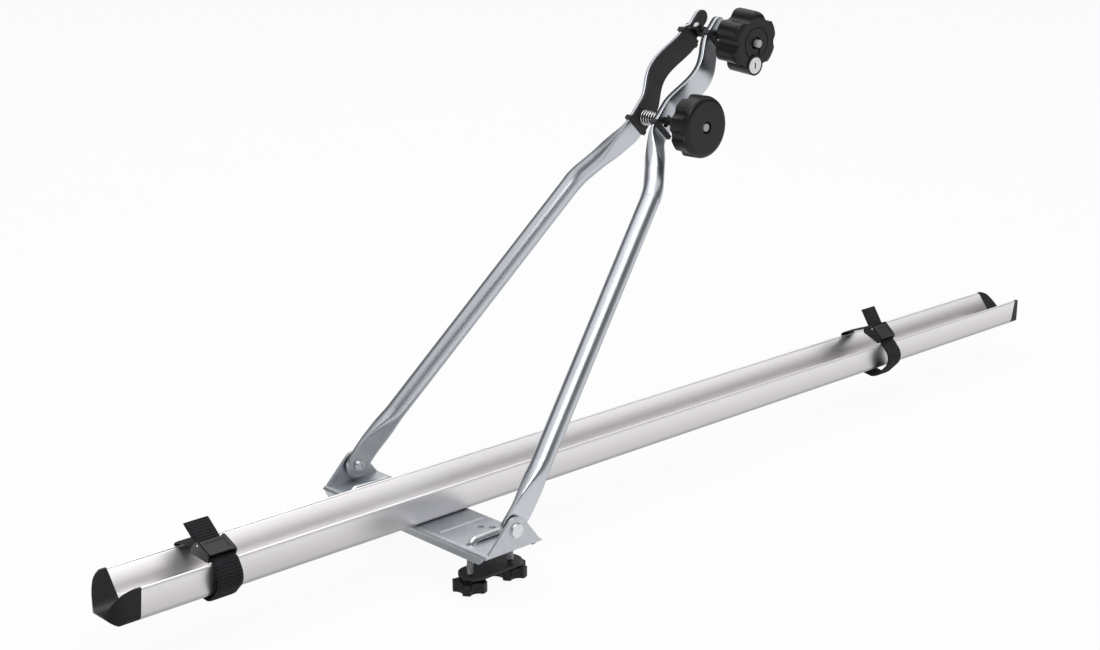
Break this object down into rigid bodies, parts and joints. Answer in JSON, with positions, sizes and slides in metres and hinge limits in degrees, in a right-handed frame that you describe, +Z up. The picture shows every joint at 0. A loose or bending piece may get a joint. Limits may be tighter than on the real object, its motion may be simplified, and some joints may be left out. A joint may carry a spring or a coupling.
{
  "type": "roof mounted bike carrier",
  "caption": "Roof rack carrier with a long wheel tray, crossbar clamps, wheel straps and a folding arm whose padded jaws grip a bicycle frame.",
  "frame": {"origin": "middle of the base plate's underside, where it rests on the crossbar", "axes": "+X along the wheel tray towards its long end, +Y to the left arm tube, +Z up"},
  "size_m": [1.3512, 0.248, 0.5],
  "materials": {
    "anodised": "satin anodised",
    "silver_paint": "silver, half gloss",
    "zinc": "bright zinc",
    "black_steel": "black, half gloss",
    "black_plastic": "fine grain",
    "buckle_metal": "black",
    "rubber": "matt",
    "brass": "turned",
    "lock_chrome": "polished",
    "webbing": "ribbed webbing"
  },
  "bodies": {
    "foot": {"base_plate": "silver_paint", "wheel_tray": "anodised", "end_cap_rear": "black_plastic", "end_cap_front": "black_plastic", "slot_nut_left": "zinc", "slot_nut_right": "zinc", "tray_screw_rear_left": "zinc", "tray_screw_rear_right": "zinc", "tray_screw_front_left": "zinc", "tray_screw_front_right": "zinc", "u_bolt_left": "zinc", "u_bolt_right": "zinc", "pivot_bolt_left": "zinc", "pivot_bolt_right": "zinc", "pivot_nut_left": "zinc", "pivot_nut_right": "zinc", "strap_rear": "webbing", "strap_front": "webbing", "buckle_frame_rear": "buckle_metal", "buckle_frame_front": "buckle_metal", "buckle_pin_rear": "zinc", "buckle_pin_front": "zinc"},
    "fold": {"pivot_bush_left": "black_plastic", "pivot_bush_right": "black_plastic"},
    "left_arm": {"arm_left": "silver_paint", "jaw_liner_left": "rubber", "lower_bolt": "black_steel", "jaw_spring": "zinc", "swing_clevis": "black_steel", "clevis_nut": "black_steel", "swing_pin": "zinc"},
    "right_arm": {"arm_right": "silver_paint", "jaw_liner_right": "rubber"},
    "lower_carriage": {"lower_washer": "black_steel"},
    "lower_grip": {"lower_knob": "black_plastic", "lower_insert": "brass"},
    "swing": {"swing_bolt": "black_steel"},
    "upper_carriage": {"upper_washer": "black_steel"},
    "upper_grip": {"upper_knob": "black_plastic", "upper_insert": "brass", "lock_barrel": "lock_chrome"},
    "key": {"lock_plug": "lock_chrome"},
    "clamp_left": {"clamp_plate_left": "black_steel"},
    "clamp_right": {"clamp_plate_right": "black_steel"},
    "star_rear_left": {"star_knob_rear_left": "black_plastic"},
    "star_front_left": {"star_knob_front_left": "black_plastic"},
    "star_rear_right": {"star_knob_rear_right": "black_plastic"},
    "star_front_right": {"star_knob_front_right": "black_plastic"},
    "lever_rear": {"buckle_lever_rear": "buckle_metal"},
    "lever_front": {"buckle_lever_front": "buckle_metal"}
  },
  "joints": [
    {"name": "arm_fold", "type": "hinge", "parent": "foot", "child": "fold", "pos_m": [0.003, 0, 0.0185], "axis": [0, 1, 0], "range_deg": [-52, 42.5]},
    {"name": "left_flex", "type": "hinge", "parent": "fold", "child": "left_arm", "pos_m": [0.003, 0.11465, 0.0185], "axis": [0.7349, 0, -0.6782], "range_deg": [0, 0.8], "stiffness_Nm_per_rad": 250, "deforming": ["jaw_spring"]},
    {"name": "right_flex", "type": "hinge", "parent": "fold", "child": "right_arm", "pos_m": [0.003, -0.11465, 0.0185], "axis": [-0.7349, 0, 0.6782], "range_deg": [0, 0.8], "stiffness_Nm_per_rad": 250, "deforming": ["jaw_spring"]},
    {"name": "lower_travel", "type": "slide", "parent": "left_arm", "child": "lower_carriage", "axis": [0, 1, 0], "range_m": [0, 0.02]},
    {"name": "lower_spin", "type": "hinge", "parent": "lower_carriage", "child": "lower_grip", "pos_m": [0.30614, -0.06, 0.34701], "axis": [0, 1, 0], "range_deg": [0, 5760]},
    {"name": "bolt_swing", "type": "hinge", "parent": "left_arm", "child": "swing", "pos_m": [0.38345, 0.0076, 0.43079], "axis": [-0.7349, 0, 0.6782], "range_deg": [-1, 95]},
    {"name": "upper_travel", "type": "slide", "parent": "swing", "child": "upper_carriage", "axis": [0.0709, 0.9945, 0.0768], "range_m": [0, 0.01]},
    {"name": "upper_spin", "type": "hinge", "parent": "upper_carriage", "child": "upper_grip", "pos_m": [0.37919, -0.05207, 0.42618], "axis": [0.0709, 0.9945, 0.0768], "range_deg": [0, 2880]},
    {"name": "key_turn", "type": "hinge", "parent": "upper_grip", "child": "key", "pos_m": [0.37782, -0.07222, 0.40196], "axis": [0.0709, 0.9945, 0.0768], "range_deg": [0, 90]},
    {"name": "clamp_left_travel", "type": "slide", "parent": "foot", "child": "clamp_left", "axis": [0, 0, 1], "range_m": [-0.008, 0.01]},
    {"name": "star_rear_left_spin", "type": "hinge", "parent": "clamp_left", "child": "star_rear_left", "pos_m": [-0.025, 0.089, -0.035], "axis": [0, 0, 1], "range_deg": [-2880, 3600]},
    {"name": "star_front_left_spin", "type": "hinge", "parent": "clamp_left", "child": "star_front_left", "pos_m": [0.025, 0.089, -0.035], "axis": [0, 0, 1], "range_deg": [-2880, 3600]},
    {"name": "clamp_right_travel", "type": "slide", "parent": "foot", "child": "clamp_right", "axis": [0, 0, 1], "range_m": [-0.008, 0.01]},
    {"name": "star_rear_right_spin", "type": "hinge", "parent": "clamp_right", "child": "star_rear_right", "pos_m": [-0.025, -0.089, -0.035], "axis": [0, 0, 1], "range_deg": [-2880, 3600]},
    {"name": "star_front_right_spin", "type": "hinge", "parent": "clamp_right", "child": "star_front_right", "pos_m": [0.025, -0.089, -0.035], "axis": [0, 0, 1], "range_deg": [-2880, 3600]},
    {"name": "lever_rear_lift", "type": "hinge", "parent": "foot", "child": "lever_rear", "pos_m": [-0.249, -0.01043, 0.04742], "axis": [-1, 0, 0], "range_deg": [0, 70], "stiffness_Nm_per_rad": 0.05, "springref_deg": -17.19},
    {"name": "lever_front_lift", "type": "hinge", "parent": "foot", "child": "lever_front", "pos_m": [0.693, -0.01611, 0.05247], "axis": [-1, 0, 0], "range_deg": [0, 70], "stiffness_Nm_per_rad": 0.05, "springref_deg": -17.19}
  ],
  "couplings": [
    {"joint": "right_flex", "follows": "left_flex", "ratio": 1},
    {"joint": "lower_spin", "follows": "lower_travel", "rad_per_m": 5026.5},
    {"joint": "upper_spin", "follows": "upper_travel", "rad_per_m": 5026.5},
    {"joint": "star_rear_left_spin", "follows": "clamp_left_travel", "rad_per_m": 6283.2},
    {"joint": "star_front_left_spin", "follows": "clamp_left_travel", "rad_per_m": 6283.2},
    {"joint": "star_rear_right_spin", "follows": "clamp_right_travel", "rad_per_m": 6283.2},
    {"joint": "star_front_right_spin", "follows": "clamp_right_travel", "rad_per_m": 6283.2}
  ]
}
